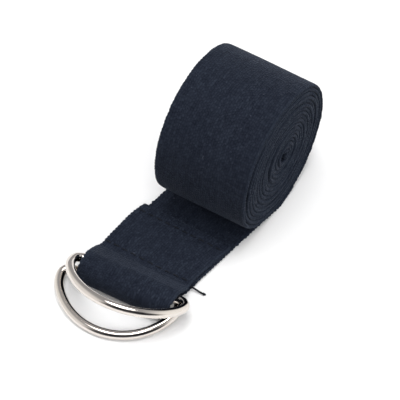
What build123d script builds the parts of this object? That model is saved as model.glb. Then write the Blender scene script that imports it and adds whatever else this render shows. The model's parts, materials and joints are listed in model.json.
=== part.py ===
from build123d import *
import math
import os

# Cotton stretching strap: one rolled webbing strap with two D-rings in a sewn end loop.
# Millimetres, +Z up. The roll stands on its round side on the floor plane Z = 0, with its axis along Y.
# The strap's outer end leaves the roll along the floor towards -X and ends in the loop that holds the rings.
# The origin is the middle of the footprint, on the floor.

os.makedirs("parts", exist_ok=True)

# ---- webbing ----
strap_width = 38.0
strap_thickness = 1.5
air_gap = 0.1                    # air left between two layers that lie on each other
half_thickness = strap_thickness / 2

# ---- roll ----
roll_x = 27.8                    # the line where the roll stands on the floor
roll_y = -8.42                   # middle of the rolled width
outer_turn_radius = 29.35        # of the outermost half turn, at mid thickness
half_turns = 33
half_turn_step = 0.805           # each half turn is this much smaller than the one outside it

# ---- flat end, measured from the roll's standing line (x) and the middle of its width (y) ----
tongue_slope = -0.1935           # sideways drift of the strap for each millimetre along X
lower_right_edge = -19.2         # where the lower layer's edges would meet the roll's standing line
lower_left_edge = 18.7
upper_right_edge = -18.8
upper_left_edge = 19.9
bend_line_x = -22.0              # the tongue lifts from the floor here
bend_gap = 0.2
loop_seam_x = -50.0              # stitch row that closes the ring loop
cut_end_x = -27.6                # cut end of the folded-over layer

# ---- ring loop ----
fold_x = -65.2                   # centre of the fold
fold_radius = 4.9                # at mid thickness, and where the loop turns down towards its seam
loop_slope = 45.0                # degrees at which its upper layer comes down
kink_radius = 1.5                # where that slope meets the seam
drawn_in_x = -54.0               # past here the loop is as narrow as the rings' straight bars
drawn_in_right = -7.0
drawn_in_left = 27.6
clipped_corner = 4.0             # the rings' sides take this much off the fold's right end

# ---- D-rings ----
wire_radius = 1.8
ring_half_width = 22.95          # centre line, from the middle to either side
corner_radius = 3.3
side_arc_radius = 11.12
side_arc_angle = 29.17           # degrees that each side arc turns
bow_radius = 24.66
weld_radius = 1.95
weld_length = 3.0

lower_ring_bar = (-62.5, 12.3, 3.6)
lower_ring_yaw = -12.7
lower_ring_tilt = -4.8
upper_ring_bar = (-61.3, 8.6, 7.5)
upper_ring_yaw = -3.8
upper_ring_tilt = 28.4

# ---- sewing ----
stitch_length = 2.5
stitch_width = 0.7
stitch_height = 0.4
stitch_pitch = 3.4
seam_margin = 2.6                # from a strap edge to the middle of its nearest stitch
end_seam_x = -31.0               # second row, close to the cut end
tail_radius = 0.3
tail_start_z = 1.2               # where the loose thread leaves the seam, at the strap's right edge
tail_reach = (0.5, -3.9)         # how far it runs along X and Y until it lies on the floor
tail_clearance = 0.05

# ---- free end, hidden in the middle of the roll ----
hem_gap = 0.1
hem_stitch_count = 9

floor_plane = Plane(origin=(roll_x, roll_y, 0), x_dir=(1, 0, 0), z_dir=(0, 0, 1))
side_plane = Plane(origin=(roll_x, roll_y, 0), x_dir=(1, 0, 0), z_dir=(0, -1, 0))


def edge_y(start, x):
    """Sideways place of a strap edge at x, for an edge that would meet the standing line at start."""
    return start + tongue_slope * x


def layer_outline(x_near, x_far, right, left):
    """Corners of one flat stretch of the slanting strap, seen from above."""
    return [
        (x_near, edge_y(right, x_near)),
        (x_near, edge_y(left, x_near)),
        (x_far, edge_y(left, x_far)),
        (x_far, edge_y(right, x_far)),
    ]


def turn_radius(index):
    """Mid-thickness radius of one half turn, counted from the outside."""
    return outer_turn_radius - half_turn_step * index


def turn_centre(index):
    """Height of one half turn's centre: odd half turns hang from the top of the one before."""
    height = half_thickness + turn_radius(0)
    for step in range(1, index + 1):
        rise = half_turn_step if step % 2 else -half_turn_step
        height += rise
    return height


def half_turn(index, offset):
    """Arc of one half turn, offset outwards from the mid surface."""
    start = -90 if index % 2 == 0 else 90
    return CenterArc((0, turn_centre(index)), turn_radius(index) + offset, start, 180)


# Rolled webbing: one spiral band.
with BuildPart() as webbing_roll:
    with BuildSketch(side_plane):
        with BuildLine():
            outer_edge = [half_turn(index, half_thickness) for index in range(half_turns)]
            inner_edge = [half_turn(index, -half_thickness) for index in range(half_turns)]
            Line(outer_edge[0] @ 0, inner_edge[0] @ 0)
            Line(outer_edge[-1] @ 1, inner_edge[-1] @ 1)
        make_face()
    extrude(amount=strap_width / 2, both=True)
webbing_roll.part.label = "webbing_roll"
export_step(webbing_roll.part, "parts/webbing_roll.step")

# Foot: the outermost turn runs on from the standing line along the floor, as far as the bend line.
with BuildPart() as webbing_foot:
    with BuildSketch(floor_plane):
        Polygon(
            (0, -strap_width / 2),
            (0, strap_width / 2),
            (bend_line_x, edge_y(lower_left_edge, bend_line_x)),
            (bend_line_x, edge_y(lower_right_edge, bend_line_x)),
            align=None,
        )
    extrude(amount=strap_thickness)
webbing_foot.part.label = "webbing_foot"
export_step(webbing_foot.part, "parts/webbing_foot.step")

# Free end: the last centimetre is folded back inside the innermost half turn.
last = half_turns - 1
hem_radius = turn_radius(last) - strap_thickness - hem_gap
end_height = turn_centre(last) + turn_radius(last)
fold_height = end_height - half_thickness - hem_gap / 2
with BuildPart() as tip_hem:
    with BuildSketch(side_plane):
        with BuildLine():
            hem_outside = CenterArc((0, turn_centre(last)), hem_radius + half_thickness, -90, 180)
            hem_inside = CenterArc((0, turn_centre(last)), hem_radius - half_thickness, -90, 180)
            Line(hem_outside @ 0, hem_inside @ 0)
            Line(hem_outside @ 1, hem_inside @ 1)
        make_face()
    extrude(amount=strap_width / 2, both=True)
    with BuildSketch(side_plane):
        with BuildLine():
            cap_radius = strap_thickness + hem_gap / 2
            cap = CenterArc((0, fold_height), cap_radius, 90, 180)
            Line(cap @ 0, cap @ 1)
        make_face()
    extrude(amount=strap_width / 2, both=True)
tip_hem.part.label = "tip_hem"
export_step(tip_hem.part, "parts/tip_hem.step")

# The hem's stitch row lies on the inside of the folded-back layer.
hem_face_x = hem_radius - half_thickness
with BuildPart() as tip_hem_stitches:
    with BuildSketch(
        Plane(
            origin=(roll_x + hem_face_x - stitch_height, roll_y, turn_centre(last)),
            x_dir=(0, 1, 0),
            z_dir=(1, 0, 0),
        )
    ):
        with GridLocations(stitch_pitch, stitch_pitch, hem_stitch_count, 1):
            SlotOverall(stitch_length, stitch_width)
    extrude(amount=stitch_height / 2)
tip_hem_stitches.part.label = "tip_hem_stitches"
export_step(tip_hem_stitches.part, "parts/tip_hem_stitches.step")

# Flat lower layer from the bend line to the loop's seam.
with BuildPart() as webbing_tongue:
    with BuildSketch(floor_plane):
        Polygon(
            *layer_outline(bend_line_x - bend_gap, loop_seam_x, lower_right_edge, lower_left_edge),
            align=None,
        )
    extrude(amount=strap_thickness)
webbing_tongue.part.label = "webbing_tongue"
export_step(webbing_tongue.part, "parts/webbing_tongue.step")

# Folded-over upper layer, from the loop's seam to its cut end.
upper_layer_z = strap_thickness + air_gap
with BuildPart() as folded_end:
    with BuildSketch(floor_plane.offset(upper_layer_z)):
        Polygon(
            *layer_outline(cut_end_x, loop_seam_x, upper_right_edge, upper_left_edge),
            align=None,
        )
    extrude(amount=strap_thickness)
folded_end.part.label = "folded_end"
export_step(folded_end.part, "parts/folded_end.step")

# Ring loop: along the floor, round the fold, over both bars and straight down to the seam.
loop_top_z = half_thickness + 2 * fold_radius
seam_z = upper_layer_z + half_thickness
uncut_width = 3 * strap_width    # the sweep is made too wide, and is then cut to its outline
slope = math.radians(loop_slope)
turn_radii = fold_radius + kink_radius
slope_length = (loop_top_z - seam_z - turn_radii * (1 - math.cos(slope))) / math.sin(slope)
loop_top_x = loop_seam_x - turn_radii * math.sin(slope) - slope_length * math.cos(slope)
fold_end_x = fold_x - fold_radius - half_thickness
with BuildPart() as ring_loop:
    with BuildLine(side_plane) as loop_path:
        Line((loop_seam_x, half_thickness), (fold_x, half_thickness))
        CenterArc((fold_x, half_thickness + fold_radius), fold_radius, -90, -180)
        Line((fold_x, loop_top_z), (loop_top_x, loop_top_z))
        brow = JernArc((loop_top_x, loop_top_z), (1, 0), fold_radius, -loop_slope)
        ramp = Line(brow @ 1, brow @ 1 + (brow % 1) * slope_length)
        JernArc(ramp @ 1, ramp % 1, kink_radius, loop_slope)
    with BuildSketch(Plane(origin=loop_path.line @ 0, x_dir=(0, 1, 0), z_dir=(-1, 0, 0))):
        Rectangle(uncut_width, strap_thickness)
    sweep(path=loop_path.line)
    with BuildSketch(floor_plane):
        Polygon(
            (loop_seam_x, edge_y(lower_right_edge, loop_seam_x)),
            (loop_seam_x, edge_y(lower_left_edge, loop_seam_x)),
            (drawn_in_x, drawn_in_left),
            (fold_end_x, drawn_in_left),
            (fold_end_x, drawn_in_right + clipped_corner),
            (fold_end_x + clipped_corner, drawn_in_right),
            (drawn_in_x, drawn_in_right),
            align=None,
        )
    extrude(amount=loop_top_z + strap_thickness, mode=Mode.INTERSECT)
ring_loop.part.label = "ring_loop"
export_step(ring_loop.part, "parts/ring_loop.step")


def stitch_row(x, right, left):
    """Middles of the stitches of one row across the strap, between its two edges."""
    first = edge_y(right, x) + seam_margin
    span = edge_y(left, x) - seam_margin - first
    count = int(span / stitch_pitch) + 1
    spread = span / (count - 1)
    return [(x, first + spread * index) for index in range(count)]


# Thread of the row that closes the loop, with its loose tail at the strap's edge.
stitch_z = upper_layer_z + strap_thickness
with BuildPart() as loop_stitches:
    with BuildSketch(floor_plane.offset(stitch_z)):
        with Locations(*stitch_row(loop_seam_x + stitch_width, upper_right_edge, upper_left_edge)):
            SlotOverall(stitch_length, stitch_width, rotation=90)
    extrude(amount=stitch_height)
    tail_start = (
        roll_x + loop_seam_x,
        roll_y + edge_y(lower_right_edge, loop_seam_x) - tail_radius,
        tail_start_z,
    )
    tail_end = (
        tail_start[0] + tail_reach[0],
        tail_start[1] + tail_reach[1],
        tail_radius + tail_clearance,
    )
    with BuildLine() as tail_path:
        Line(tail_start, tail_end)
    with BuildSketch(Plane(origin=tail_start, z_dir=tail_path.line % 0)):
        Circle(tail_radius)
    sweep(path=tail_path.line)
loop_stitches.part.label = "loop_stitches"
export_step(loop_stitches.part, "parts/loop_stitches.step")

# Thread of the row that holds the cut end down.
with BuildPart() as end_stitches:
    with BuildSketch(floor_plane.offset(stitch_z)):
        with Locations(*stitch_row(end_seam_x, upper_right_edge, upper_left_edge)):
            SlotOverall(stitch_length, stitch_width, rotation=90)
    extrude(amount=stitch_height)
end_stitches.part.label = "end_stitches"
export_step(end_stitches.part, "parts/end_stitches.step")


def ring_plane(bar, yaw, tilt):
    """Plane of one ring: local x runs along its bar and local y from the bar to the top of the bow."""
    middle = (roll_x + bar[0], roll_y + bar[1], bar[2])
    return Plane(Location(middle, (0, 0, 90 - yaw)) * Location((0, 0, 0), (tilt, 0, 0)))


def d_ring(name, bar, yaw, tilt):
    """One welded wire D-ring, its straight bar in the strap's loop."""
    plane = ring_plane(bar, yaw, tilt)
    straight = ring_half_width - corner_radius
    bow_angle = 180 - 2 * side_arc_angle
    with BuildPart() as ring:
        with BuildLine(plane) as outline:
            Line((0, 0), (straight, 0))
            corner = JernArc((straight, 0), (1, 0), corner_radius, 90)
            side = JernArc(corner @ 1, corner % 1, side_arc_radius, side_arc_angle)
            bow = JernArc(side @ 1, side % 1, bow_radius, bow_angle)
            far_side = JernArc(bow @ 1, bow % 1, side_arc_radius, side_arc_angle)
            far_corner = JernArc(far_side @ 1, far_side % 1, corner_radius, 90)
            Line(far_corner @ 1, (0, 0))
        with BuildSketch(Plane(origin=plane.origin, z_dir=plane.x_dir)):
            Circle(wire_radius)
        sweep(path=outline.line)
        with BuildSketch(Plane(origin=plane.origin - plane.x_dir * weld_length / 2, z_dir=plane.x_dir)):
            Circle(weld_radius)
        extrude(amount=weld_length)
    ring.part.label = name
    export_step(ring.part, f"parts/{name}.step")
    return ring.part


lower_d_ring = d_ring("lower_d_ring", lower_ring_bar, lower_ring_yaw, lower_ring_tilt)
upper_d_ring = d_ring("upper_d_ring", upper_ring_bar, upper_ring_yaw, upper_ring_tilt)
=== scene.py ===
import json
import math

import bpy
import numpy as np
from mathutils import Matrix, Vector


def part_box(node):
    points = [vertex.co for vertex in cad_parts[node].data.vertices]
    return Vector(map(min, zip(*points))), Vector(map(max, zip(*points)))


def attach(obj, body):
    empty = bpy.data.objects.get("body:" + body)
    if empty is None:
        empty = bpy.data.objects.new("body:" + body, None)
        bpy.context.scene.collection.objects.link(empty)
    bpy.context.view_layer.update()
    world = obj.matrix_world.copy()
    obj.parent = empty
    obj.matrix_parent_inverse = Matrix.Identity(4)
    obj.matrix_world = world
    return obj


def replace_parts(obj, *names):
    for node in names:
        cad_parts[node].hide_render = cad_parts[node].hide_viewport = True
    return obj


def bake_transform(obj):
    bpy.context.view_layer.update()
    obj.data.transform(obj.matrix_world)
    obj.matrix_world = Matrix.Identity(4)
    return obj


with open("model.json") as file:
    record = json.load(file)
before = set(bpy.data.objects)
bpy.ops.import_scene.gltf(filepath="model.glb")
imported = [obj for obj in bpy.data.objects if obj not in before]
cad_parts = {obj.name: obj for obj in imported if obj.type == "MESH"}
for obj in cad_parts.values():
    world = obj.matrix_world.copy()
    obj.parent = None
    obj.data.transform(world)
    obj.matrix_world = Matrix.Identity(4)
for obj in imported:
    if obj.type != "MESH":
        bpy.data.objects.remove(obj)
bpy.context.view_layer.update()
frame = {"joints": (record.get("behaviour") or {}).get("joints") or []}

# A rolled webbing strap with two D-rings. Lengths are in millimetres unless a name says otherwise, in the
# roll's own frame: X = 0 is the line where the roll stands, Y = 0 the middle of its width, Z = 0 the floor.
# The right edge of the strap is the one towards -Y.
MM = 0.001
SEED = 7
rng = np.random.default_rng(SEED)

roll_low, roll_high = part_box("webbing_roll")
ROLL_HEIGHT = (roll_high.z - roll_low.z) / MM
ROLL_ORIGIN = Vector((roll_high.x - ROLL_HEIGHT * MM / 2, (roll_low.y + roll_high.y) / 2, 0))
JOINTS = {joint["name"]: joint for joint in frame["joints"]}

# ---- webbing ----
WIDTH = 38.0
THICKNESS = 1.5
AIR_GAP = 0.1
TURN_STEP = 0.805                # each half turn's radius is this much smaller than the one outside it
HALF_TURNS = 33
OUTER_RADIUS = ROLL_HEIGHT / 2 - THICKNESS / 2
HALF_TURN_LENGTH = math.pi * OUTER_RADIUS

# ---- flat end and ring loop ----
SEAM_X = -50.0
CUT_X = -27.4
FOLD_X = -64.0
FOLD_RADIUS = 4.9                # at mid thickness, and where the loop turns down towards its seam
LOOP_SLOPE = 43.0                # degrees at which its upper layer comes down
KINK_RADIUS = 4.5                # where that slope meets the seam
LOOP_TOP_Z = THICKNESS / 2 + 2 * FOLD_RADIUS
UPPER_LAYER_Z = 1.5 * THICKNESS + AIR_GAP
FOLD_SLANT = -0.055              # the fold's far side drifts along X for each millimetre of width
FOLD_SLANT_Y = 8.0               # the fold doesn't move here
SLANT_PLACES = [-SEAM_X, -FOLD_X, 84.0, 96.3]        # along the strap: start, whole drift from and to, end
LEAN = -0.1935                   # sideways drift of the flat end, for each millimetre along X

# ---- cross-section and path sampling ----
ROLL_STEP = 0.75
FLAT_STEP = 0.3
COLUMNS = 11
EDGE_COLUMN = 0.86               # share of the half width where the last of the even columns lies
ROUND_EDGE = [(0.14, 0.58), (0.45, 0.82), (1.1, 0.95), (2.0, 1.0)]   # inset, share of half the thickness
PRESSED_EDGE = 0.55              # share of those insets that the inner turns keep
PRESSED_TURNS = [1.2, 2.2]       # turns from the outside between which the edges get flatter
OFF_FLOOR = 0.02                 # no point of the strap lies lower

# ---- unevenness of the webbing ----
WEFT_PITCH = 1.5                 # distance between the weft's turns along the edge
EDGE_TOOTH = 0.16
ROLLED_TOOTH = 0.5               # share of that in the roll
EDGE_FUZZ = 0.11
FUZZ_WINDOW = 3                  # samples that the fuzz is averaged over
TOOTH_DEPTH = 1.5                # the teeth fade out this far in from the edge
WAVES = [(0.10, 5.3, 21.0, 0.8), (0.07, -17.0, 6.1, 0.0)]    # size, X and Y for each radian, start
WAVES_START, WAVES_REACH = 24.0, 8.0     # out from the standing line: where they start, and grow over
CALM_PLACES, CALM_SHARES = [40, 52, 70, 78], [1, 0.1, 0.1, 1]        # along the strap, low round the bars
EDGE_CURL = 0.35
CURL_PITCH = 4.7                 # X for each radian of the curl's waves
CURL_MIDDLE = 7.0                # measured from this far left of the middle, so mostly the right edge curls
CURL_START, CURL_REACH = 12.0, 8.0       # from that line
SWELL = 0.12                     # how far the roll swells in or out, at most
SWELL_PITCH = 8.3                # Y for each radian of the swell's waves
SWELL_STARTS = 0.5, 0.9          # of the waves across the roll and round it
SWELL_LOW, SWELL_RISE = 4.0, 12.0        # no swell below this height, whole swell this much higher
SLACK = 0.18                     # of the outermost turn
CORE_DRIFT = 2.2                 # how far the roll's middle lies off centre, away from the flat end
CORE_RECESS = 0.2                # how far the innermost turns have slid further
RECESS_START, RECESS_REACH = 7, 3        # turns from the outside
SLIDE_EASE = 0.3                 # turns over which the sliding sets in
SLID = 0.2                       # how far the turns have slid to the left
SLIDES = [(0.16, 5.1, 0.4), (0.14, 11.3, 2.0), (0.1, 23.9, 0.0)]     # size, radians for each turn, start
LOOSE_TURNS = [(0.6, 0.93, 0.12), (0.35, 1.75, 0.35)]                # size, turns from the outside, spread

# ---- D-rings ----
WIRE_RADIUS = 1.8
RING_HALF_WIDTH = 22.95
CORNER_RADIUS = 3.3
SIDE_RADIUS = 11.12
SIDE_ANGLE = math.radians(29.17)
BOW_RADIUS = 24.66
WELD_BULGE = 0.14
WELD_RIPPLE = 0.2                # share of the bulge that comes and goes round the wire
WELD_WAVE = 4.0                  # radians for each millimetre along the bar
WELD_LENGTH = 3.0
RING_TILTS = {"upper": 28.4, "lower": -4.8}          # degrees that the bow is raised from level
RING_SIDES = 32

# ---- sewing ----
STITCH_LENGTH = 2.5
STITCH_PITCH = 3.4
STITCH_DEPTH = 0.35              # how far a stitch's ends go into the webbing from its base
TOP_STITCH = 0.12, 0.42          # its base over the webbing's surface, and its arch over that
UNDER_STITCH = 0.34, -0.2        # base over the strap's underside, and arch down from that
STITCH_WOBBLE = 0.06             # how far a stitch's ends are askew, at most
WOBBLE_RATE = 3.7                # radians for each millimetre across the strap
THREAD_RADIUS = 0.24
TAIL_RADIUS = 0.42               # the loose end looks thicker than the stitches
TAIL_POINTS = 26
PLY_TWIST = 1.3                  # length of a ply's whole turn
PLY_OFFSET = 0.5                 # from the thread's middle to a ply's, as a share of the thread's radius
PLY_RADIUS = 0.58                # likewise
SEAM_MARGIN = 2.6
SEAM_RIGHT, SEAM_LEFT = -18.5, 20.2      # the edges at the rows, carried back along the lean to X = 0
LOOP_ROW_X = SEAM_X + 0.7
END_SEAM_X = -30.9
SEAM_PINCH = 0.26                # share of its thickness that the webbing loses at a seam
PINCH_WIDTH = 1.0
CREASE_DEPTH = 0.4
CREASE_X = SEAM_X + 0.4
CREASE_WIDTH = 0.7
CREASE_ENDS = [-7.5, -5.5, 1.0, 4.0]     # Y where it starts, is deepest from and to, and ends
CREASE_FROM = 90.0               # only the webbing further along than this is creased
HEM_STITCH_LENGTH = 2.4
HEM_ARCH = 0.12
HEM_THREAD_RADIUS = 0.15
HEM_DRIFT = 0.92 * CORE_DRIFT    # how far the hem has moved with the roll's middle
HEM_STITCHES = range(-4, 5)      # their places either side of the middle


def place(points):
    """Points of the roll's frame, in millimetres, as metres in the row frame."""
    return np.asarray(points, float) * MM + np.array(ROLL_ORIGIN)


def make_mesh(name, points, faces):
    """A new smooth mesh object from points in metres and faces."""
    mesh = bpy.data.meshes.new(name)
    mesh.from_pydata([tuple(p) for p in points], [], [tuple(int(i) for i in f) for f in faces])
    mesh.validate()
    mesh.polygons.foreach_set("use_smooth", [True] * len(mesh.polygons))
    mesh.update()
    made = bpy.data.objects.new(name, mesh)
    bpy.context.scene.collection.objects.link(made)
    return made


def store(made, name, vectors):
    """Keeps a vector for each point of a mesh, for its material."""
    attribute = made.data.attributes.new(name, "FLOAT_VECTOR", "POINT")
    attribute.data.foreach_set("vector", vectors.astype(np.float32).ravel())


def tube_faces(stations, around, closed=False, start=0):
    """Quads of a tube of sections with the same number of points, its ends closed or joined up."""
    faces = []
    for i in range(stations if closed else stations - 1):
        here, there = start + i * around, start + (i + 1) % stations * around
        for j in range(around):
            k = (j + 1) % around
            faces.append((here + j, here + k, there + k, there + j))
    if not closed:
        faces.append(tuple(start + j for j in range(around))[::-1])
        faces.append(tuple(start + (stations - 1) * around + j for j in range(around)))
    return faces


# ================= path of the webbing =================


def arc(centre, radius, start, sweep, step):
    """Points of an arc in the XZ plane, from angle start through sweep, in degrees."""
    count = max(8, int(abs(math.radians(sweep)) * radius / step))
    angles = np.radians(start + np.linspace(0, sweep, count + 1))
    return np.stack([centre[0] + radius * np.cos(angles), centre[1] + radius * np.sin(angles)], 1)


def straight(start, end, step):
    count = max(2, int(math.dist(start, end) / step))
    return np.linspace(start, end, count + 1)


def joined(pieces):
    """One line of points from pieces that meet end to end."""
    return np.concatenate([pieces[0]] + [piece[1:] for piece in pieces[1:]])


def turn_radius(index):
    return OUTER_RADIUS - TURN_STEP * index


def turn_centre(index):
    """Height of one half turn's centre: every other one hangs from the top of the one outside it."""
    return THICKNESS / 2 + OUTER_RADIUS + (TURN_STEP if index % 2 else 0)


def roll_path(step):
    """From the free end, hemmed back in the core, through every half turn to the standing line."""
    last = HALF_TURNS - 1
    hem_radius = turn_radius(last) - THICKNESS - AIR_GAP
    cap_radius = (THICKNESS + AIR_GAP) / 2
    middle = turn_centre(last)
    pieces = [
        arc((0, middle), hem_radius, -90, 180, step),
        arc((0, middle + hem_radius + cap_radius), cap_radius, -90, -180, step),
    ]
    for index in range(last, -1, -1):
        start = -90 if index % 2 else 90
        pieces.append(arc((0, turn_centre(index)), turn_radius(index), start, -180, step))
    return pieces


def flat_path(step):
    """From the standing line along the floor, round the rings' bars and back over to the cut end."""
    floor_z = THICKNESS / 2
    slope = math.radians(LOOP_SLOPE)
    both_radii = FOLD_RADIUS + KINK_RADIUS
    length = (LOOP_TOP_Z - UPPER_LAYER_Z - both_radii * (1 - math.cos(slope))) / math.sin(slope)
    top_x = SEAM_X - both_radii * math.sin(slope) - length * math.cos(slope)
    brow = arc((top_x, LOOP_TOP_Z - FOLD_RADIUS), FOLD_RADIUS, 90, -LOOP_SLOPE, step)
    kink = arc((SEAM_X, UPPER_LAYER_Z + KINK_RADIUS), KINK_RADIUS, 270 - LOOP_SLOPE, LOOP_SLOPE, step)
    return [
        straight((0, floor_z), (FOLD_X, floor_z), step),
        arc((FOLD_X, floor_z + FOLD_RADIUS), FOLD_RADIUS, -90, -180, step),
        straight((FOLD_X, LOOP_TOP_Z), (top_x, LOOP_TOP_Z), step),
        brow,
        straight(brow[-1], kink[0], step),
        kink,
        straight((SEAM_X, UPPER_LAYER_Z), (CUT_X, UPPER_LAYER_Z), step),
    ]


def smoothed(values, window):
    """Moving average over a window of samples that keeps both ends."""
    kernel = np.ones(window) / window
    padded = np.pad(values, window // 2, mode="edge")
    return np.convolve(padded, kernel, mode="valid")[: len(values)]


# Places along the flat end, from the standing line, with the strap's right and left edge there.
EDGE_PLACES = [
    # along, right, left
    (0, -19.0, 19.0),
    (22, -14.6, 23.2),
    (50, -9.6, 28.4),
    (53, -9.2, 28.6),
    (56, -6.6, 28.2),
    (68, -6.3, 27.5),
    (72, -7.2, 27.3),
    (74, -9.8, 27.5),
    (77, -10.6, 27.9),
    (82, -10.6, 28.3),
    (91, -9.7, 29.3),
    (96, -9.6, 28.9),
    (101, -9.9, 28.4),
    (112, -12.1, 27.0),
    (117, -13.2, 25.8),
    (119, -13.4, 24.8),
]
EDGE_SMOOTHING = 3.0


def strap_stations():
    """The strap's stations: path point, heading, distance past the standing line, right and left edge."""
    rolled = joined(roll_path(ROLL_STEP))
    flat = joined(flat_path(FLAT_STEP))
    line = np.concatenate([rolled, flat[1:]])
    steps = np.hypot(*np.diff(line, axis=0).T)
    along = np.concatenate([[0], np.cumsum(steps)])
    along -= along[len(rolled) - 1]
    heading = np.gradient(line, axis=0)
    heading /= np.linalg.norm(heading, axis=1)[:, None]
    window = int(EDGE_SMOOTHING / FLAT_STEP)
    slide = telescoping(turns_in(along))
    places = np.array(EDGE_PLACES)
    edges = []
    for column in (1, 2):
        edge = np.interp(along, places[:, 0], places[:, column])
        edges.append(np.where(along > 0, smoothed(edge, window), edge + slide))
    return line, heading, along, *edges


# ================= unevenness of the webbing =================


def turns_in(along):
    """How many of the outermost turn's lengths a place is wound in from the standing line."""
    return -along / (2 * HALF_TURN_LENGTH)


def bell(value, middle, spread):
    return np.exp(-(((value - middle) / spread) ** 2))


def raised_wave(height, phase):
    """A wave that only lifts."""
    return height * (1 + np.sin(phase))


def telescoping(turns):
    """How far each turn has slid sideways: nothing at the standing line, uneven further in."""
    ease = np.clip(turns / SLIDE_EASE, 0, 1) ** 2
    slide = SLID + sum(size * np.sin(turns * rate + start) for size, rate, start in SLIDES)
    slide = slide + sum(size * bell(turns, middle, spread) for size, middle, spread in LOOSE_TURNS)
    recess = CORE_RECESS * np.clip((turns - RECESS_START) / RECESS_REACH, 0, 1) ** 2
    return ease * slide + recess


def edge_roundness(along):
    """The selvedges are pressed flatter in the inner turns than in the outermost one."""
    return np.interp(turns_in(along), PRESSED_TURNS, [1, PRESSED_EDGE])


def slack(along):
    """Outward slack of the outermost turn, on the side over the flat end and over the top."""
    share = np.clip((along + 2 * HALF_TURN_LENGTH) / HALF_TURN_LENGTH, 0, 1)
    return SLACK * np.sin(math.pi * share) ** 2


def upper_place(along, x):
    """Distance along the strap of a place on the folded-over layer."""
    return along[-1] - (CUT_X - x)


def seam_pinch(along):
    """Share of its thickness that the webbing keeps where a stitch row pulls it together."""
    pinch = 0.0
    for x in (SEAM_X, END_SEAM_X):
        for seam in (-x, upper_place(along, x)):
            pinch = pinch + bell(along, seam, PINCH_WIDTH)
    return 1 - SEAM_PINCH * pinch


def lay_in_waves(points, along):
    """Low waves of the flat end, the same for layers that lie on each other, and its edge's slight curl."""
    x, y = points[..., 0], points[..., 1]
    lift = sum(raised_wave(size, x / long + y / wide + start) for size, long, wide, start in WAVES)
    edge = np.clip((np.abs(y - CURL_MIDDLE - LEAN * x) - CURL_START) / CURL_REACH, 0, 1) ** 2
    curl = edge * raised_wave(EDGE_CURL, x / CURL_PITCH + np.sign(y - CURL_MIDDLE))
    clear_of_roll = np.clip((-x - WAVES_START) / WAVES_REACH, 0, 1) * (along > 0)[:, None]
    calm = np.interp(along, CALM_PLACES, CALM_SHARES)[:, None]
    points[..., 2] += clear_of_roll * calm * (lift + curl)


def swell_roll(points, along):
    """The roll isn't quite round, nor the same across its width."""
    x, y = points[..., 0], points[..., 1]
    height = points[..., 2] - ROLL_HEIGHT / 2
    from_core = np.maximum(np.hypot(x, height), 1)
    across, around = SWELL_STARTS
    swell = SWELL * np.sin(y / SWELL_PITCH + across) * np.sin(2 * np.arctan2(height, x) + around)
    swell *= (along <= 0)[:, None] * np.clip((points[..., 2] - SWELL_LOW) / SWELL_RISE, 0, 1)
    points[..., 0] += swell * x / from_core
    points[..., 2] += swell * height / from_core


def slant_fold(points, along):
    """The fold isn't square to the strap: its far side reaches further out."""
    share = np.interp(along, SLANT_PLACES, [0, 1, 1, 0])
    points[..., 0] += FOLD_SLANT * (points[..., 1] - FOLD_SLANT_Y) * share[:, None]


def crease_seam(points, along):
    """A short crease where the loop's seam is pulled down, towards the strap's right edge."""
    near_seam = bell(points[..., 0], CREASE_X, CREASE_WIDTH) * (along > CREASE_FROM)[:, None]
    points[..., 2] -= CREASE_DEPTH * near_seam * np.interp(points[..., 1], CREASE_ENDS, [0, 1, 1, 0])


def drift_core(points):
    """The roll was wound harder on one side, so its turns lie closer together there."""
    from_core = np.hypot(points[..., 0], points[..., 2] - ROLL_HEIGHT / 2)
    points[..., 0] += CORE_DRIFT * np.clip(1 - from_core / (ROLL_HEIGHT / 2), 0, 1)


# ================= strap =================


def section_template():
    """Points round the strap's cross-section: share of the half width, inset from the edge, side."""
    top = [(-1, inset, side) for inset, side in ROUND_EDGE]
    top += [(share, 0, 1) for share in np.linspace(-EDGE_COLUMN, EDGE_COLUMN, COLUMNS)]
    top += [(1, inset, side) for inset, side in ROUND_EDGE[::-1]]
    bottom = [(share, inset, -side) for share, inset, side in top[::-1]]
    return np.array(top + [(1, 0, 0)] + bottom + [(-1, 0, 0)], float)


def edge_teeth(along):
    """The weft's turns along the selvedge, lower in the roll, and its fuzz."""
    teeth = EDGE_TOOTH * np.cos(2 * math.pi * along / WEFT_PITCH) * np.where(along > 0, 1, ROLLED_TOOTH)
    return teeth + smoothed(rng.normal(0, EDGE_FUZZ, len(along)), FUZZ_WINDOW)


def webbing_strap():
    """The whole strap as one closed mesh: hemmed end, turns, flat end, ring loop and folded-over end."""
    line, heading, along, right, left = strap_stations()
    share, inset, side = section_template().T
    middle, half = (left + right) / 2, (left - right) / 2
    at_edge = (np.abs(share) == 1) * np.clip(1 - inset / TOOTH_DEPTH, 0, 1)
    half_here = half[:, None] + edge_teeth(along)[:, None] * at_edge
    y = middle[:, None] + share * (half_here - inset * edge_roundness(along)[:, None])
    outward = np.stack([-heading[:, 1], heading[:, 0]], 1)
    thick = THICKNESS * seam_pinch(along)
    offset = side * thick[:, None] / 2 + slack(along)[:, None]
    x = line[:, 0, None] + outward[:, 0, None] * offset
    z = line[:, 1, None] + outward[:, 1, None] * offset
    points = np.stack([x, y, z], 2)
    drift_core(points)
    lay_in_waves(points, along)
    swell_roll(points, along)
    slant_fold(points, along)
    crease_seam(points, along)
    points[..., 2] = np.maximum(points[..., 2], OFF_FLOOR)
    faces = tube_faces(*points.shape[:2])
    strap = make_mesh("webbing_strap", place(points.reshape(-1, 3)), faces)
    store(strap, "weave", flat_coordinates(along, middle, y, side))
    return strap


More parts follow.
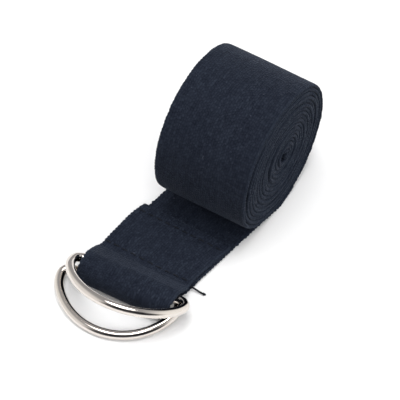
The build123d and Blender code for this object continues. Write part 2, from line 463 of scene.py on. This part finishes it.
def flat_coordinates(along, middle, y, side):
    """Each point's place on the flat webbing, in millimetres: across, along and through."""
    lean = np.arctan(smoothed(np.gradient(middle, along), 9))
    length = np.cumsum(np.gradient(along) / np.cos(lean))
    from_middle = y - middle[:, None]
    across = from_middle * np.cos(lean)[:, None]
    lengthwise = length[:, None] + from_middle * np.sin(lean)[:, None]
    through = np.broadcast_to(side * THICKNESS / 2, across.shape)
    return np.stack([across, lengthwise, through], 2)


# ================= thread =================


def thread_plies(route, radius, sides=6):
    """Two plies wound round each other along a route of points, as tubes of points."""
    route = np.asarray(route, float)
    ahead = np.gradient(route, axis=0)
    ahead /= np.linalg.norm(ahead, axis=1)[:, None]
    level = np.cross(ahead, (0, 0, 1.0))
    level /= np.linalg.norm(level, axis=1)[:, None]
    upward = np.cross(level, ahead)
    travelled = np.concatenate([[0], np.cumsum(np.linalg.norm(np.diff(route, axis=0), axis=1))])
    ring = np.linspace(0, 2 * math.pi, sides, endpoint=False)[None, :, None]
    around = np.cos(ring) * level[:, None, :] + np.sin(ring) * upward[:, None, :]
    plies = []
    for start in (0, math.pi):
        turn = (2 * math.pi * travelled / PLY_TWIST + start)[:, None]
        centre = route + PLY_OFFSET * radius * (np.cos(turn) * level + np.sin(turn) * upward)
        plies.append(centre[:, None, :] + PLY_RADIUS * radius * around)
    return plies


def thread_piece(name, routes, radius=THREAD_RADIUS):
    """One object from many thread routes."""
    points, faces = [], []
    for route in routes:
        for ply in thread_plies(route, radius):
            faces += tube_faces(*ply.shape[:2], start=len(points))
            points.extend(ply.reshape(-1, 3))
    return make_mesh(name, place(points), faces)


def stitch_route(x, y, z, height, length=STITCH_LENGTH, count=13):
    """One stitch across the strap: its ends in the webbing, a low arch up or down between them."""
    share = np.linspace(-1, 1, count)
    wobble = STITCH_WOBBLE * math.sin(y * WOBBLE_RATE)
    arch = (1 - share**4) * height
    return np.stack([
        x + wobble * share,
        y + share * length / 2,
        z - math.copysign(STITCH_DEPTH, height) + arch,
    ], 1)


def row_places(x):
    """Middles of the stitches of one row, evenly between the strap's edges."""
    first = SEAM_RIGHT + LEAN * x + SEAM_MARGIN
    span = SEAM_LEFT + LEAN * x - SEAM_MARGIN - first
    count = int(span / STITCH_PITCH) + 1
    return first + np.arange(count) * span / (count - 1)


def surface_z(strap, x, y, down=True):
    """Height of the strap's surface at one place, looking down from over it or up from under it."""
    start = ROLL_ORIGIN + Vector((x, y, 20 if down else -5)) * MM
    hit, point, _, _ = strap.ray_cast(start, (0, 0, -1 if down else 1))
    return point.z / MM if hit else 0.0


def seam_routes(strap, x):
    """Stitches of one row: those that show on top, and half a stitch on, those inside the lower layer."""
    places = row_places(x)
    between = (places[:-1] + places[1:]) / 2
    base, arch = TOP_STITCH
    above = [stitch_route(x, y, surface_z(strap, x, y) + base, arch) for y in places]
    base, arch = UNDER_STITCH
    below = [stitch_route(x, y, surface_z(strap, x, y, down=False) + base, arch) for y in between]
    return above + below


def smooth_route(points, count):
    """Evenly spread points on a smooth curve through the given ones."""
    points = np.array(points, float)
    padded = np.vstack([2 * points[0] - points[1], points, 2 * points[-1] - points[-2]])
    route = []
    for place_here in np.linspace(0, len(points) - 1, count):
        i = min(int(place_here), len(points) - 2)
        t = place_here - i
        a, b, c, d = padded[i : i + 4]
        square, cube = 2 * a - 5 * b + 4 * c - d, 3 * b - a - 3 * c + d
        route.append(0.5 * (2 * b + (c - a) * t + square * t**2 + cube * t**3))
    return np.array(route)


def thread_tail():
    """The loose end of the loop's thread, from the seam's right end out over the floor."""
    return smooth_route([
        (SEAM_X - 0.05, -8.9, 2.35),
        (SEAM_X + 0.2, -9.9, 2.15),
        (SEAM_X + 0.4, -11.2, 1.55),
        (SEAM_X + 0.55, -12.9, 0.95),
        (SEAM_X + 0.65, -14.7, 0.6),
    ], TAIL_POINTS)


def tail_knot(tail, turns=2.5, radius=0.17, length=0.7, count=30):
    """The loose end, wound into a small knot round the end of the tail."""
    heading = tail[-1] - tail[-2]
    heading /= np.linalg.norm(heading)
    level = np.cross(heading, (0, 0, 1.0))
    upward = np.cross(level, heading)
    share = np.linspace(0, 1, count)
    angle = 2 * math.pi * turns * share
    coil = np.outer(np.cos(angle), level) + np.outer(np.sin(angle), upward)
    return tail[-1] + np.outer(share - 0.3, heading) * length + radius * coil


def hem_routes():
    """Stitches through the free end's hem, in the middle of the roll."""
    core_low, core_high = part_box("tip_hem_stitches")
    core = ((core_low + core_high) / 2 - ROLL_ORIGIN) / MM
    return [
        stitch_route(core.x + HEM_DRIFT, core.y + STITCH_PITCH * i, core.z, HEM_ARCH, HEM_STITCH_LENGTH)
        for i in HEM_STITCHES
    ]


# ================= rings =================


def d_outline(step=0.45):
    """Centre line of a D-ring in its own plane: its bar along X through the origin, its bow towards +Y."""
    bar = RING_HALF_WIDTH - CORNER_RADIUS
    side_end_y = CORNER_RADIUS + SIDE_RADIUS * math.sin(SIDE_ANGLE)
    bow_centre_y = side_end_y - BOW_RADIUS * math.sin(SIDE_ANGLE)
    degrees = math.degrees(SIDE_ANGLE)
    right_half = joined([
        straight((0, 0), (bar, 0), step),
        arc((bar, CORNER_RADIUS), CORNER_RADIUS, -90, 90, step),
        arc((RING_HALF_WIDTH - SIDE_RADIUS, CORNER_RADIUS), SIDE_RADIUS, 0, degrees, step),
        arc((0, bow_centre_y), BOW_RADIUS, degrees, 90 - degrees, step),
    ])
    left_half = right_half[::-1] * (-1, 1)
    return np.concatenate([right_half, left_half[1:-1]])


def ring_axes(joint, tilt):
    """Directions along the bar, out to the bow and square to both, with the bow raised by tilt degrees."""
    along_bar = Vector(joint["axis"]).normalized()
    level = Vector((0, 0, 1)).cross(along_bar).normalized()
    tilt = math.radians(tilt)
    reach = level * math.cos(tilt) + Vector((0, 0, math.sin(tilt)))
    return np.array([along_bar, reach, along_bar.cross(reach)])


def d_ring(which):
    """One ring of round wire, with the weld's uneven bead in the middle of its bar."""
    joint = JOINTS[f"{which}_ring_swing"]
    line = d_outline()
    ahead = np.roll(line, -1, axis=0) - np.roll(line, 1, axis=0)
    ahead /= np.linalg.norm(ahead, axis=1)[:, None]
    outward = np.stack([ahead[:, 1], -ahead[:, 0]], 1)
    weld = np.exp(-((line[:, 0] / (WELD_LENGTH / 2)) ** 4)) * (line[:, 1] < 1)
    angles = np.linspace(0, 2 * math.pi, RING_SIDES, endpoint=False)
    ripple = np.cos(3 * angles)[None, :] * np.sin(line[:, 0] * WELD_WAVE)[:, None]
    bulge = WELD_BULGE * (1 - WELD_RIPPLE + WELD_RIPPLE * ripple)
    radius = WIRE_RADIUS + weld[:, None] * bulge
    in_plane = line[:, None, :] + outward[:, None, :] * (np.cos(angles) * radius)[:, :, None]
    local = np.concatenate([in_plane, (np.sin(angles) * radius)[:, :, None]], 2)
    points = local.reshape(-1, 3) @ ring_axes(joint, RING_TILTS[which]) * MM + np.array(joint["pos_m"])
    ring = make_mesh(f"{which}_ring_wire", points, tube_faces(len(line), RING_SIDES, closed=True))
    travelled = np.concatenate([[0], np.cumsum(np.linalg.norm(np.diff(line, axis=0), axis=1))])
    on_wire = [
        np.repeat(travelled, RING_SIDES),
        np.tile(angles * WIRE_RADIUS, len(line)),
        np.repeat(weld, RING_SIDES),
    ]
    store(ring, "wire", np.stack(on_wire, 1))
    return ring


# ================= nodes =================


def new_material(name):
    material = bpy.data.materials.new(name)
    material.use_nodes = True
    tree = material.node_tree
    return material, tree, tree.nodes["Principled BSDF"]


def add(tree, kind, *inputs, output=0, **settings):
    """A node with its properties set and its inputs filled in order with links or values."""
    made = tree.nodes.new(kind)
    for key, value in settings.items():
        setattr(made, key, value)
    for socket, value in zip(made.inputs, inputs):
        fill(tree, socket, value)
    return made.outputs[output]


def fill(tree, socket, value):
    if isinstance(value, bpy.types.NodeSocket):
        tree.links.new(value, socket)
    else:
        socket.default_value = value


def calc(tree, operation, *inputs):
    return add(tree, "ShaderNodeMath", *inputs, operation=operation)


def ramp(tree, factor, low, high, to_low=0.0, to_high=1.0):
    """A smooth step of factor between low and high."""
    ends = (low, high, to_low, to_high)
    return add(tree, "ShaderNodeMapRange", factor, *ends, interpolation_type="SMOOTHSTEP")


def fading(tree, factor, low, high):
    """A smooth step down from 1 to 0 as factor goes from low to high."""
    return ramp(tree, factor, low, high, 1.0, 0.0)


def mixed(tree, factor, first, second):
    """A colour between two, by a factor."""
    made = tree.nodes.new("ShaderNodeMix")
    made.data_type = "RGBA"
    sockets = {socket.identifier: socket for socket in made.inputs}
    for name, value in (("Factor_Float", factor), ("A_Color", first), ("B_Color", second)):
        fill(tree, sockets[name], value)
    return next(socket for socket in made.outputs if socket.identifier == "Result_Color")


def noise(tree, vector, scale, detail=2.0, roughness=0.5):
    made = tree.nodes.new("ShaderNodeTexNoise")
    tree.links.new(vector, made.inputs["Vector"])
    made.inputs["Scale"].default_value = scale
    made.inputs["Detail"].default_value = detail
    made.inputs["Roughness"].default_value = roughness
    return made.outputs["Fac"]


def chance(tree, dimensions, socket, value):
    """A random share, the same wherever value is the same."""
    made = tree.nodes.new("ShaderNodeTexWhiteNoise")
    made.noise_dimensions = dimensions
    tree.links.new(value, made.inputs[socket])
    return made.outputs["Value"]


def stored(tree, name):
    """A mesh's stored vector, and its three parts."""
    made = tree.nodes.new("ShaderNodeAttribute")
    made.attribute_name = name
    vector = made.outputs["Vector"]
    return vector, split(tree, vector)


def split(tree, vector):
    made = tree.nodes.new("ShaderNodeSeparateXYZ")
    tree.links.new(vector, made.inputs[0])
    return made.outputs


def object_place(tree):
    return tree.nodes.new("ShaderNodeTexCoord").outputs["Object"]


def raise_surface(tree, shader, height, strength, distance):
    """A bump by height, its distance in metres."""
    made = tree.nodes.new("ShaderNodeBump")
    made.inputs["Strength"].default_value = strength
    made.inputs["Distance"].default_value = distance
    tree.links.new(height, made.inputs["Height"])
    tree.links.new(made.outputs["Normal"], shader.inputs["Normal"])


# ================= materials =================

WARP_PITCH = 0.95                # millimetres across one warp yarn
GRAIN_LENGTH = 1.40              # millimetres along one visible float of a warp yarn
YARN_WANDER, ROW_WANDER = 1.8, 2.6       # millimetres that yarns and floats wander from their places
YARN_SHIFT, ROW_STAGGER = 0.45, 0.5      # a yarn's random and steady shift, in floats
FLOAT_FULLNESS = 0.6             # the less, the fuller a float's rounded shape
SHAPE_HEIGHT, CHANCE_HEIGHT, FIBRE_HEIGHT = 0.75, 0.55, 0.5      # the relief's three parts
SELVEDGE_START, SELVEDGE_END = WIDTH / 2 - 1.0, WIDTH / 2 - 0.3
# dark end of the weave's colour: dark floats, and painted shade in the hollows between floats
NAVY_DARK_AND_HOLLOW_SHADE = (0.0028, 0.0042, 0.0086, 1)
NAVY = (0.0096, 0.0126, 0.0212, 1)
NAVY_PALE = (0.020, 0.026, 0.039, 1)
LINT = (0.09, 0.10, 0.13, 1)
SHEEN_TINT = (0.55, 0.66, 0.9, 1)
THREAD_DARK = (0.002, 0.0025, 0.0043, 1)
THREAD_LIGHT = (0.007, 0.0086, 0.0142, 1)
NICKEL = (0.76, 0.71, 0.66, 1)
NICKEL_CLOUD = (0.67, 0.62, 0.575, 1)
WELD_COLOUR = (0.42, 0.40, 0.37, 1)
FLOOR_LOW = (0.705, 0.705, 0.71, 1)
FLOOR_HIGH = (0.725, 0.725, 0.725, 1)


def float_height(tree, place_on, across_start, along_start):
    """Relief of the weave: rows of short warp floats, each of its own height, wandering a little."""
    across = calc(tree, "MULTIPLY_ADD", noise(tree, place_on, scale=0.35), YARN_WANDER, across_start)
    along = calc(tree, "MULTIPLY_ADD", noise(tree, place_on, scale=0.6), ROW_WANDER, along_start)
    column = calc(tree, "DIVIDE", across, WARP_PITCH)
    yarn = calc(tree, "FLOOR", column)
    yarn_shift = calc(tree, "MULTIPLY", chance(tree, "1D", "W", yarn), YARN_SHIFT)
    offset = calc(tree, "MULTIPLY_ADD", yarn, ROW_STAGGER, yarn_shift)
    row = calc(tree, "ADD", offset, calc(tree, "DIVIDE", along, GRAIN_LENGTH))
    round_across = calc(tree, "SINE", calc(tree, "MULTIPLY", calc(tree, "FRACT", column), math.pi))
    round_along = calc(tree, "SINE", calc(tree, "MULTIPLY", calc(tree, "FRACT", row), math.pi))
    float_shape = calc(tree, "POWER", calc(tree, "MULTIPLY", round_across, round_along), FLOAT_FULLNESS)
    cell = add(tree, "ShaderNodeCombineXYZ", yarn, calc(tree, "FLOOR", row), 0.0)
    float_chance = chance(tree, "2D", "Vector", cell)
    fibres = noise(tree, place_on, scale=3.2, detail=3.0, roughness=0.6)
    by_shape = calc(tree, "MULTIPLY", float_shape, SHAPE_HEIGHT)
    height = calc(tree, "MULTIPLY_ADD", float_chance, CHANCE_HEIGHT, by_shape)
    return calc(tree, "MULTIPLY_ADD", fibres, FIBRE_HEIGHT, height)


def webbing_material():
    """Navy cotton webbing: its floats with painted shade in the hollows between them, uneven dye, lint and
    paler selvedges.
    """
    material, tree, shader = new_material("navy_webbing")
    place_on, parts = stored(tree, "weave")
    height = float_height(tree, place_on, parts[0], parts[1])
    dye_patches = noise(tree, place_on, scale=0.05, detail=3.0, roughness=0.55)
    dye = ramp(tree, dye_patches, 0.3, 0.7, to_low=0.88)
    # The colour follows the weave's relief: darker in the hollows between floats, which is painted shade, and
    # paler on the highest floats, over each float's own random tone.
    shade = calc(tree, "MULTIPLY", height, dye)
    colour = mixed(tree, ramp(tree, shade, 0.1, 0.9), NAVY_DARK_AND_HOLLOW_SHADE, NAVY)
    colour = mixed(tree, ramp(tree, shade, 0.85, 1.6, to_high=0.75), colour, NAVY_PALE)
    from_middle = calc(tree, "ABSOLUTE", parts[0])
    selvedge = ramp(tree, from_middle, SELVEDGE_START, SELVEDGE_END, to_high=0.4)
    colour = mixed(tree, selvedge, colour, NAVY_PALE)
    lint = ramp(tree, noise(tree, place_on, scale=0.9, detail=0.0), 0.82, 0.88, to_high=0.3)
    colour = mixed(tree, lint, colour, LINT)
    tree.links.new(colour, shader.inputs["Base Color"])
    tree.links.new(ramp(tree, height, 0.2, 1.3, to_low=0.95, to_high=0.78), shader.inputs["Roughness"])
    raise_surface(tree, shader, height, strength=0.65, distance=0.00035)
    shader.inputs["Specular IOR Level"].default_value = 0.10
    shader.inputs["Sheen Weight"].default_value = 0.07
    shader.inputs["Sheen Roughness"].default_value = 0.35
    shader.inputs["Sheen Tint"].default_value = SHEEN_TINT
    return material


def thread_material():
    """Near-black spun thread, its fibres a little uneven."""
    material, tree, shader = new_material("dark_thread")
    fibres = noise(tree, object_place(tree), scale=4200.0)
    tree.links.new(mixed(tree, fibres, THREAD_DARK, THREAD_LIGHT), shader.inputs["Base Color"])
    tree.links.new(ramp(tree, fibres, 0.3, 0.7, to_low=0.85, to_high=0.6), shader.inputs["Roughness"])
    raise_surface(tree, shader, fibres, strength=0.5, distance=0.00005)
    shader.inputs["Specular IOR Level"].default_value = 0.3
    return material


def nickel_material():
    """Bright nickel plate: faint draw marks along the wire, tiny pits, a duller weld."""
    material, tree, shader = new_material("bright_nickel")
    along_wire, round_wire, weld = stored(tree, "wire")[1]
    stretched = add(
        tree, "ShaderNodeCombineXYZ",
        calc(tree, "MULTIPLY", along_wire, 0.12),
        calc(tree, "MULTIPLY", round_wire, 3.0),
        0.0,
    )
    draw_marks = noise(tree, stretched, scale=2.0, detail=3.0, roughness=0.6)
    where = object_place(tree)
    clouds = noise(tree, where, scale=170.0, detail=3.0)
    pits = ramp(tree, noise(tree, where, scale=900.0, detail=1.0), 0.62, 0.74)
    colour = mixed(tree, clouds, NICKEL, NICKEL_CLOUD)
    colour = mixed(tree, calc(tree, "MULTIPLY", weld, 0.6), colour, WELD_COLOUR)
    tree.links.new(colour, shader.inputs["Base Color"])
    rough = calc(tree, "MULTIPLY_ADD", draw_marks, 0.06, 0.02)
    rough = calc(tree, "MULTIPLY_ADD", clouds, 0.04, rough)
    rough = calc(tree, "MULTIPLY_ADD", weld, 0.25, rough)
    tree.links.new(rough, shader.inputs["Roughness"])
    relief = calc(tree, "MULTIPLY_ADD", pits, -0.5, calc(tree, "MULTIPLY", draw_marks, 0.5))
    raise_surface(tree, shader, relief, strength=0.12, distance=0.00005)
    shader.inputs["Metallic"].default_value = 1.0
    return material


def floor_material():
    """Plain pale table, very slightly uneven."""
    material, tree, shader = new_material("pale_floor")
    patches = noise(tree, object_place(tree), scale=6.0)
    tree.links.new(mixed(tree, patches, FLOOR_LOW, FLOOR_HIGH), shader.inputs["Base Color"])
    shader.inputs["Roughness"].default_value = 0.9
    shader.inputs["Specular IOR Level"].default_value = 0.1
    return material


# ================= studio =================

CAMERA_TARGET = Vector((2.22, -6.97, 20.0)) * MM     # row frame
CAMERA_AZIMUTH = math.radians(-58.5)
CAMERA_ELEVATION = math.radians(54.4)
CAMERA_DISTANCE = 0.737                              # metres
CAMERA_LENS = 180.0

# Radiance of the surroundings: ahead of and behind the camera, on its left and right, round the zenith,
# under the horizon, and in a dark patch on the camera's side
SKY_BACK = (0.38, 0.38, 0.39, 1)
SKY_LEFT = (0.98, 0.97, 0.95, 1)
SKY_RIGHT = (1.15, 1.14, 1.12, 1)
SKY_OVERHEAD = (10.6, 10.6, 10.6, 1)
SKY_BELOW = (0.15, 0.15, 0.16, 1)
SKY_CAMERA = (0.02, 0.02, 0.025, 1)

# Where one radiance passes into the next: parts of a unit direction, sideways, upwards and level
SIDES_FROM, SIDES_TO = 0.3, 0.9
ZENITH_BLEND = 0.945, 0.985
HORIZON_BLEND = -0.06, 0.0
PATCH_BOTTOM = 0.10, 0.20
PATCH_TOP = 0.78, 0.86
PATCH_SIDES = 0.5, 0.8

FLOOR_RADIUS = 1.5                                   # metres
FLOOR_SIDES = 64


def camera_back():
    """Unit vector from the object towards the camera."""
    level = math.cos(CAMERA_ELEVATION)
    return Vector((
        math.sin(CAMERA_AZIMUTH) * level,
        -math.cos(CAMERA_AZIMUTH) * level,
        math.sin(CAMERA_ELEVATION),
    ))


def make_camera():
    data = bpy.data.cameras.new("camera")
    data.lens = CAMERA_LENS
    data.sensor_width = 36.0
    data.clip_start = 0.01
    data.clip_end = 20.0
    camera = bpy.data.objects.new("camera", data)
    bpy.context.scene.collection.objects.link(camera)
    back = camera_back()
    camera.location = CAMERA_TARGET + back * CAMERA_DISTANCE
    camera.rotation_mode = "QUATERNION"
    camera.rotation_quaternion = (-back).to_track_quat("-Z", "Y")
    bpy.context.scene.camera = camera


def area_light(name, location, size, energy):
    """A square soft light that looks at the object, and isn't seen in reflections."""
    data = bpy.data.lights.new(name, "AREA")
    data.size = size
    data.energy = energy
    light = bpy.data.objects.new(name, data)
    light.location = location
    light.rotation_mode = "QUATERNION"
    light.rotation_quaternion = (-Vector(location)).to_track_quat("-Z", "Y")
    light.visible_glossy = False
    bpy.context.scene.collection.objects.link(light)


def make_lights():
    """Soft lamps on the camera's side and at both ends of the roll; places and sizes are in metres."""
    area_light("front_fill", camera_back() * 1.3, size=0.8, energy=6.5)
    area_light("left_fill", (0.0, 1.2, 0.45), size=0.5, energy=7.0)
    area_light("right_fill", (0.05, -1.2, 0.5), size=0.5, energy=6.5)


def along_direction(tree, direction, axis):
    """How far a direction reaches along an axis."""
    return add(tree, "ShaderNodeVectorMath", direction, axis, operation="DOT_PRODUCT", output=1)


def camera_patch(tree, direction, height, facing):
    """Share of the dark patch on the camera's side, uneven and soft-edged."""
    flatness = calc(tree, "SQRT", calc(tree, "SUBTRACT", 1.0, calc(tree, "MULTIPLY", height, height)))
    bearing = calc(tree, "DIVIDE", facing, calc(tree, "MAXIMUM", flatness, 0.01))
    band = calc(tree, "MULTIPLY", ramp(tree, height, *PATCH_BOTTOM), fading(tree, height, *PATCH_TOP))
    patchy = ramp(tree, noise(tree, direction, scale=3.0, detail=1.0), 0.3, 0.55, to_low=0.7)
    return calc(tree, "MULTIPLY", calc(tree, "MULTIPLY", band, patchy), ramp(tree, bearing, *PATCH_SIDES))


def studio_world():
    """Soft surroundings, brighter on both sides, white round the zenith, and dark on the camera's side."""
    world = bpy.data.worlds.new("studio")
    bpy.context.scene.world = world
    world.use_nodes = True
    tree = world.node_tree
    direction = tree.nodes.new("ShaderNodeTexCoord").outputs["Generated"]
    height = split(tree, direction)[2]
    back = camera_back()
    level_back = Vector((back.x, back.y, 0)).normalized()
    level_right = Vector((-level_back.y, level_back.x, 0))
    rightness = along_direction(tree, direction, level_right)
    dark = camera_patch(tree, direction, height, along_direction(tree, direction, level_back))
    colour = mixed(tree, ramp(tree, rightness, SIDES_FROM, SIDES_TO), SKY_BACK, SKY_RIGHT)
    colour = mixed(tree, fading(tree, rightness, -SIDES_TO, -SIDES_FROM), colour, SKY_LEFT)
    colour = mixed(tree, ramp(tree, height, *ZENITH_BLEND), colour, SKY_OVERHEAD)
    colour = mixed(tree, dark, colour, SKY_CAMERA)
    colour = mixed(tree, fading(tree, height, *HORIZON_BLEND), colour, SKY_BELOW)
    tree.links.new(colour, tree.nodes["Background"].inputs["Color"])


def make_floor():
    """A round pale floor, which sends no diffuse light back up to the object."""
    angles = np.linspace(0, 2 * math.pi, FLOOR_SIDES, endpoint=False)
    rim = np.stack([np.cos(angles), np.sin(angles), np.zeros(FLOOR_SIDES)], 1) * FLOOR_RADIUS
    faces = [(i, (i + 1) % FLOOR_SIDES, FLOOR_SIDES) for i in range(FLOOR_SIDES)]
    floor = make_mesh("floor", np.vstack([rim, [[0, 0, 0]]]), faces)
    floor.data.materials.append(floor_material())
    floor.visible_diffuse = False


# ================= assembly =================


def dress(piece, material):
    piece.data.materials.append(material)
    return piece


def build_strap(webbing, thread):
    """The strap and its sewing, with the bend between its roll and its flat end."""
    strap = dress(webbing_strap(), webbing)
    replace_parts(strap, "webbing_roll", "webbing_foot", "tip_hem", "webbing_tongue", "ring_loop", "folded_end")
    loop_thread = dress(thread_piece("loop_thread", seam_routes(strap, LOOP_ROW_X)), thread)
    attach(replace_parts(loop_thread, "loop_stitches"), "ring_end")
    tail = thread_tail()
    loose = [tail, tail_knot(tail)]
    loose_thread = dress(thread_piece("loose_thread", loose, TAIL_RADIUS), thread)
    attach(loose_thread, "ring_end")
    end_thread = dress(thread_piece("end_thread", seam_routes(strap, END_SEAM_X)), thread)
    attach(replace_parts(end_thread, "end_stitches"), "ring_end")
    hem_thread = dress(thread_piece("hem_thread", hem_routes(), HEM_THREAD_RADIUS), thread)
    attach(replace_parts(hem_thread, "tip_hem_stitches"), "roll")
    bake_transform(strap)


def build_rings(nickel):
    for which in ("upper", "lower"):
        ring = dress(d_ring(which), nickel)
        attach(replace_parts(ring, f"{which}_d_ring"), f"{which}_ring")


make_camera()
studio_world()
make_lights()
make_floor()
build_strap(webbing_material(), thread_material())
build_rings(nickel_material())
bpy.context.scene.view_settings.view_transform = "Standard"
